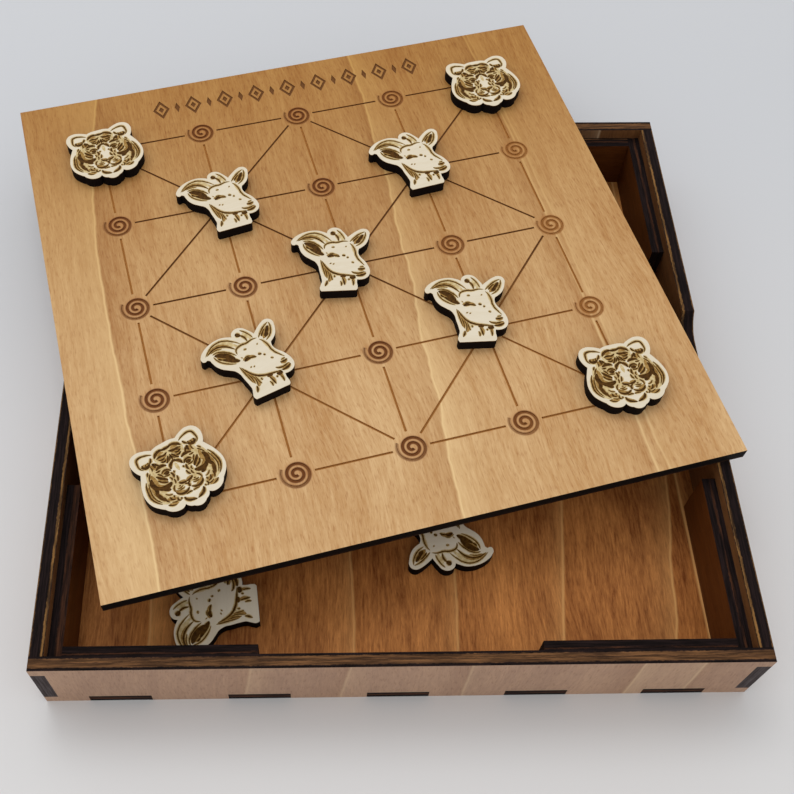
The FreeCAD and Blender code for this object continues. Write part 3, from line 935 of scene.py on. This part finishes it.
tigerMiddle = [
    (0.50, [(0.0, 6.9), (0.15, 5.8), (0.0, 4.6)]),
    (0.55, [(0.0, -4.0), (0.05, -4.8), (0.0, -5.6)]),
    (0.75, [(-1.8, 9.3), (-0.6, 9.1), (0.6, 9.1), (1.8, 9.3)]),
    (0.70, [(-0.8, 4.2), (0.0, 4.4), (0.8, 4.2)]),
    (0.60, [(0.2, 7.9), (1.4, 7.6), (2.6, 7.1), (3.6, 6.5)]),
]
tigerTan = [
    (1.2, [(-8.8, 7.6), (-7.6, 7.0), (-6.2, 7.4)]),
    (1.0, [(-4.2, 8.4), (-2.6, 8.5), (-1.0, 8.3)]),
    (1.3, [(-3.9, 6.9), (-2.4, 6.9), (-0.8, 6.9)]),
    (1.5, [(-2.6, 5.6), (-1.4, 5.4), (-0.4, 5.2)]),
    (1.0, [(-6.3, 6.4), (-6.0, 5.2), (-5.0, 4.8)]),
    (1.0, [(-5.8, 4.6), (-4.2, 4.8), (-2.6, 4.4)]),
    (1.2, [(-4.9, 2.2), (-4.0, 2.3), (-2.5, 2.0)]),
    (0.8, [(-2.4, 1.6), (-2.3, 0.4), (-2.6, -1.0)]),
    (1.1, [(-6.7, 1.8), (-5.7, 0.6), (-4.4, -0.6)]),
    (1.2, [(-7.8, 3.6), (-7.6, 1.6), (-7.2, 0.0)]),
    (1.9, [(-8.3, 0.6), (-7.2, -1.4), (-5.2, -2.3)]),
    (1.5, [(-9.3, 0.6), (-9.1, -2.8), (-8.0, -6.2)]),
    (0.9, [(-10.3, 1.0), (-10.7, -1.6), (-10.1, -4.6)]),
    (1.3, [(-7.4, -5.6), (-6.2, -6.2), (-4.8, -6.8)]),
    (0.9, [(-7.8, -7.3), (-6.4, -7.9), (-5.0, -8.0)]),
    (1.1, [(-2.3, -2.6), (-1.0, -3.1), (0.1, -3.3)]),
    (1.2, [(-4.2, -4.4), (-3.4, -5.6), (-1.6, -6.1)]),
    (1.0, [(-3.0, -7.8), (-2.3, -8.8), (-0.4, -9.5)]),
]
tigerLight = [
    (4.6, [(-4.8, 8.0), (-2.4, 7.4), (0.4, 6.6)]),
    (4.6, [(-6.6, 6.4), (-5.2, 3.6), (-2.6, 1.4)]),
    (4.2, [(-8.4, 4.8), (-7.4, -0.4), (-5.0, -3.4)]),
    (4.4, [(-9.4, 2.4), (-9.0, -3.0), (-6.6, -7.2)]),
    (2.0, [(-3.0, 2.0), (-2.9, -1.2), (-3.4, -4.4)]),
    (0.9, [(0.0, 3.6), (-0.1, 2.2), (0.0, 0.6)]),
    (3.0, [(-7.2, -5.0), (-6.0, -6.6), (-4.0, -7.6)]),
    (1.4, [(-3.8, -3.4), (-2.4, -3.6), (-0.6, -4.2)]),
]
goatStrokes = {
    "front horn": [
        (0.30, [(-13.1, 8.1), (-11.4, 9.7), (-9.4, 10.9), (-7.0, 11.3), (-5.0, 10.7), (-3.0, 9.2),
                (-1.3, 7.4)]),
        (0.60, [(-12.6, 8.2), (-10.6, 9.3), (-8.6, 9.7), (-6.6, 9.2), (-5.0, 8.0), (-3.7, 6.4)]),
        (0.22, [(-11.4, 8.6), (-9.2, 9.0), (-7.2, 8.6)]),
    ],
    "back horn": [
        (1.30, [(-1.6, 11.4), (-0.9, 10.9), (-0.2, 10.1)]),
        (0.50, [(-0.5, 10.6), (0.3, 9.8), (0.7, 8.8), (0.8, 7.5)]),
        (0.22, [(0.4, 12.3), (1.5, 11.0), (2.4, 9.4), (2.9, 7.8)]),
    ],
    "left ear": [
        (1.90, [(-10.6, 7.3), (-8.6, 6.6), (-6.8, 5.2), (-5.2, 3.2)]),
        (1.40, [(-9.0, 5.0), (-7.2, 3.9), (-5.6, 2.8), (-4.2, 2.0)]),
        (0.35, [(-10.9, 7.8), (-9.4, 8.1), (-7.4, 7.3), (-5.6, 5.8), (-4.4, 4.2)]),
        (0.28, [(-10.9, 7.2), (-10.5, 5.6), (-9.4, 3.9), (-7.6, 2.5), (-5.6, 1.5)]),
        (0.60, [(-10.0, 5.9), (-9.4, 5.3), (-8.8, 4.8)]),
    ],
    "right ear": [
        (0.30, [(4.3, 6.9), (5.9, 8.6), (7.8, 10.1), (9.7, 11.0)]),
        (0.30, [(9.8, 10.9), (9.6, 9.2), (8.8, 7.4), (7.6, 6.0), (6.0, 5.0)]),
        (1.00, [(9.0, 9.9), (7.9, 8.3), (6.7, 6.7)]),
        (1.20, [(7.9, 8.3), (7.2, 7.2), (6.4, 6.2)]),
        (0.50, [(7.6, 9.3), (6.2, 8.0), (5.4, 6.9)]),
    ],
    "brow": [
        (0.38, [(-4.1, 4.4), (-3.9, 5.8), (-3.0, 6.7), (-1.4, 7.1), (0.2, 7.0), (2.2, 7.4), (4.0, 7.2)]),
        (0.32, [(4.3, 6.5), (5.3, 5.0), (5.8, 3.4), (5.9, 1.6), (6.4, 0.0), (7.4, -1.6), (8.4, -3.0)]),
    ],
    "eyes": [
        (1.10, [(-3.3, 1.1), (-2.1, 1.7), (-0.9, 1.4)]),
        (0.50, [(-1.6, 1.7), (-0.4, 1.5), (0.8, 1.0)]),
        (0.25, [(-2.9, 2.2), (-1.8, 2.5), (-0.6, 2.2)]),
        (0.50, [(1.4, 1.5), (2.0, 1.5), (2.6, 1.2)]),
        (0.35, [(2.8, 0.7), (3.2, 0.6), (3.6, 0.4)]),
    ],
    "marks": [
        (0.22, [(-1.8, 5.0), (-1.2, 5.1), (-0.6, 5.0)]),
        (0.20, [(-3.6, 2.6), (-3.2, 2.9)]),
        (0.22, [(-2.6, -1.3), (-2.3, -1.8)]),
        (0.22, [(-1.7, -1.6), (-1.3, -2.0)]),
        (0.25, [(4.2, -1.3), (4.7, -1.5), (5.1, -1.9)]),
        (0.20, [(2.8, 5.3), (3.2, 4.9)]),
    ],
    "mouth": [
        (0.60, [(6.0, -4.2), (7.3, -4.3), (8.6, -4.0)]),
        (0.25, [(6.6, -3.5), (8.2, -3.3)]),
        (0.40, [(3.9, -5.1), (5.0, -5.8), (6.6, -5.9), (8.4, -5.4)]),
        (0.80, [(5.2, -6.9), (6.6, -6.9), (7.8, -6.5), (8.7, -5.9)]),
    ],
    "jaw": [
        (0.55, [(-5.2, -0.3), (-4.6, -1.8), (-3.6, -3.6), (-2.2, -5.1), (-0.4, -6.0), (1.6, -6.4),
                (3.6, -6.7), (5.4, -6.9)]),
        (0.90, [(0.2, -6.8), (1.2, -6.9), (2.2, -6.9)]),
        (1.20, [(3.2, -7.2), (4.2, -7.6), (5.2, -7.2)]),
    ],
    "neck": [
        (0.35, [(-5.6, 0.2), (-5.2, -2.2), (-4.8, -4.4), (-4.5, -6.6)]),
        (0.30, [(-4.6, -3.0), (-4.0, -5.4), (-4.0, -7.6)]),
        (0.30, [(-3.6, -4.4), (-3.2, -6.4), (-3.6, -8.8)]),
        (0.30, [(-2.8, -5.2), (-2.6, -7.0), (-2.2, -8.4)]),
        (0.45, [(-4.0, -8.2), (-4.2, -9.4), (-4.9, -10.7)]),
        (0.25, [(-1.6, -6.2), (-1.5, -7.4)]),
        (0.50, [(0.9, -7.2), (1.3, -8.8), (1.5, -10.6)]),
        (0.30, [(0.2, -8.6), (0.5, -9.8), (0.3, -10.8)]),
        (0.35, [(4.0, -8.4), (4.3, -9.6), (4.1, -10.9)]),
        (0.25, [(3.0, -7.8), (2.9, -8.8)]),
    ],
}
goatTan = [
    (1.1, [(-12.4, 8.5), (-10.2, 9.6), (-7.8, 9.9), (-5.8, 9.0), (-4.4, 7.6)]),
    (0.9, [(-0.2, 10.6), (0.5, 9.4), (1.0, 8.2)]),
    (2.6, [(-10.2, 6.6), (-7.8, 5.2), (-5.2, 3.0)]),
    (1.8, [(9.1, 9.9), (7.6, 8.0), (5.6, 5.9)]),
    (1.7, [(-5.3, -1.0), (-4.3, -4.2), (-4.0, -7.4)]),
    (1.2, [(-3.0, -5.0), (-2.9, -7.2), (-3.4, -9.0)]),
    (1.0, [(1.0, -7.0), (1.5, -8.4), (1.6, -10.0)]),
    (0.9, [(4.1, -7.8), (4.3, -8.8), (4.2, -9.8)]),
    (0.9, [(5.2, -6.2), (7.2, -6.3), (8.6, -5.5)]),
    (0.6, [(6.0, -4.6), (7.2, -4.8), (8.5, -4.5)]),
    (0.5, [(4.8, 5.6), (5.5, 3.8), (5.7, 2.0)]),
    (0.7, [(-3.6, 1.6), (-2.4, 2.2), (-0.6, 2.0), (0.6, 1.5)]),
]
goatLight = [
    (1.6, [(-12.6, 8.6), (-9.4, 10.1), (-6.8, 10.2), (-4.4, 8.8), (-2.4, 7.0)]),
    (1.2, [(0.6, 11.0), (1.8, 9.2), (2.2, 7.4)]),
    (2.4, [(-5.0, -1.6), (-3.4, -5.6), (-2.6, -8.6)]),
    (1.5, [(1.2, -7.2), (1.5, -8.6), (1.5, -10.2)]),
    (1.2, [(5.0, 6.2), (5.4, 4.2), (5.7, 1.6)]),
]

headLook = {
    "pale": shade(232, 223, 204),
    "dark": shade(216, 201, 173),
    "grain": {"Clouds": 0.8, "Streaks": 0.8, "Fibres": 0.6, "Flecks": 0.12},
    "seeds": 40.0,
    # each burn as its usual colour and the one in its darker blotches
    "warm": (shade(214, 195, 150), shade(190, 164, 112)),
    "tan": (shade(176, 140, 82), shade(134, 98, 44)),
    "burn": (shade(92, 60, 20), shade(58, 36, 10)),
    "char": (shade(9, 7, 8), shade(20, 14, 14)),
    "blotches": ((0.9, 0.9, 0.9), 4.0, 0.7),
    "blotchEdge": (0.34, 0.66),
    "charStreaks": ((2.2, 2.2, 0.25), 3.0),
    "roughness": 0.6,
    "edgeRougher": 0.1,
    "bump": (0.15, 0.0001),
    "specular": 0.06,
}


def makeHeadMaterial():
    look = headLook
    material, tree, shader = newMaterial("head ply")
    position = ownPosition(tree, turn=(0, 0, 90))
    number = tree.nodes.new("ShaderNodeObjectInfo").outputs["Random"]
    inputs = {"Position": position, "Pale": look["pale"], "Dark": look["dark"], **look["grain"],
              "Seed": calc(tree, "MULTIPLY", number, look["seeds"])}
    wood = useGroup(tree, veneerGroup, inputs)
    _, _, z = axes(tree, position)
    blotchy = smoothStep(tree, stretchedNoise(tree, position, *look["blotches"]), *look["blotchEdge"])
    colour = wood["Color"]
    for burn, fade in (("warm", "warmFade"), ("tan", "tanFade"), ("burn", "darkFade")):
        burnt = mixColours(tree, blotchy, *look[burn])
        colour = mixColours(tree, smoothStep(tree, z, *engraving[fade]), colour, burnt)
    side = opposite(tree, facing(tree, upwards))
    below = smoothStep(tree, z, *engraving["charFade"])
    char = mixColours(tree, stretchedNoise(tree, position, *look["charStreaks"]), *look["char"])
    colour = mixColours(tree, calc(tree, "MULTIPLY", side, below), colour, char)
    feed(tree, shader.inputs["Base Color"], colour)
    rougher = calc(tree, "MULTIPLY", side, look["edgeRougher"])
    feed(tree, shader.inputs["Roughness"], calc(tree, "ADD", rougher, look["roughness"]))
    feed(tree, shader.inputs["Normal"], bump(tree, wood["Height"], *look["bump"]))
    shader.inputs["Specular IOR Level"].default_value = look["specular"]
    return material


def makeHeads():
    places = headMatrices()
    material = makeHeadMaterial()
    thickness = (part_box("tiger_2")[1].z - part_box("tiger_2")[0].z) / mm
    tigerLines = mirrored([stroke for group in tigerStrokes.values() for stroke in group]) + tigerMiddle
    goatLines = [stroke for group in goatStrokes.values() for stroke in group]
    drawings = {
        "tiger": (tigerLines, mirrored(tigerTan), mirrored(tigerLight)),
        "goat": (goatLines, goatTan, goatLight),
    }
    meshes = {}
    for kind, strokes in drawings.items():
        outline = topOutline(kind + "_2", places[kind + "_2"])
        rings, levels = strokeRings(outline, *strokes)
        meshes[kind] = engravedMesh(kind + " head", rings, levels, thickness)
        meshes[kind].materials.append(material)
    for name, place in places.items():
        head = addObject(name + "_engraved", meshes[name.split("_")[0]])
        head.matrix_world = place
        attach(head, name)
        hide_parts(name)
    print("heads engraved:", {key: len(mesh.polygons) for key, mesh in meshes.items()})


makeHeads()


# Floor, sky and lamps

studio = {
    # painted shade: the floor's colour darkens from the front towards the back
    "floorNear": shade(220, 219, 219),
    "floorFarShaded": shade(203, 205, 209),
    "floorFade": (-160.0, 160.0),
    "floorRoughness": 0.55,
    "floorSize": 6.0,
    "sky": 0.80,
    # place and size in metres, and power in watts
    "lamps": {
        "window": ((-0.20, 0.62, 1.35), 0.6, 3.2),
        "side": ((-0.9, 0.7, 1.4), 1.2, 3.0),
    },
}


def makeFloor():
    half = studio["floorSize"] / 2
    corners = [(-half, -half, 0), (half, -half, 0), (half, half, 0), (-half, half, 0)]
    mesh = bpy.data.meshes.new("floor")
    mesh.from_pydata(corners, [], [(0, 1, 2, 3)])
    floor = addObject("floor", mesh)
    material, tree, shader = newMaterial("floor")
    _, y, _ = axes(tree, ownPosition(tree))
    # painted shade towards the back of the floor
    far = smoothStep(tree, y, *studio["floorFade"])
    feed(tree, shader.inputs["Base Color"], mixColours(tree, far, studio["floorNear"], studio["floorFarShaded"]))
    shader.inputs["Roughness"].default_value = studio["floorRoughness"]
    mesh.materials.append(material)


def makeSky():
    world = bpy.data.worlds.new("sky")
    world.use_nodes = True
    background = world.node_tree.nodes["Background"]
    background.inputs["Color"].default_value = (1.0, 1.0, 1.0, 1.0)
    background.inputs["Strength"].default_value = studio["sky"]
    bpy.context.scene.world = world


def makeLamps():
    # every lamp looks at the frame's origin
    for name, (place, size, power) in studio["lamps"].items():
        data = bpy.data.lights.new(name, "AREA")
        data.size = size
        data.energy = power
        lamp = addObject(name, data)
        lamp.location = place
        lamp.rotation_euler = (-Vector(place)).to_track_quat("-Z", "Y").to_euler()


makeFloor()
makeSky()
makeLamps()
print("studio lit")
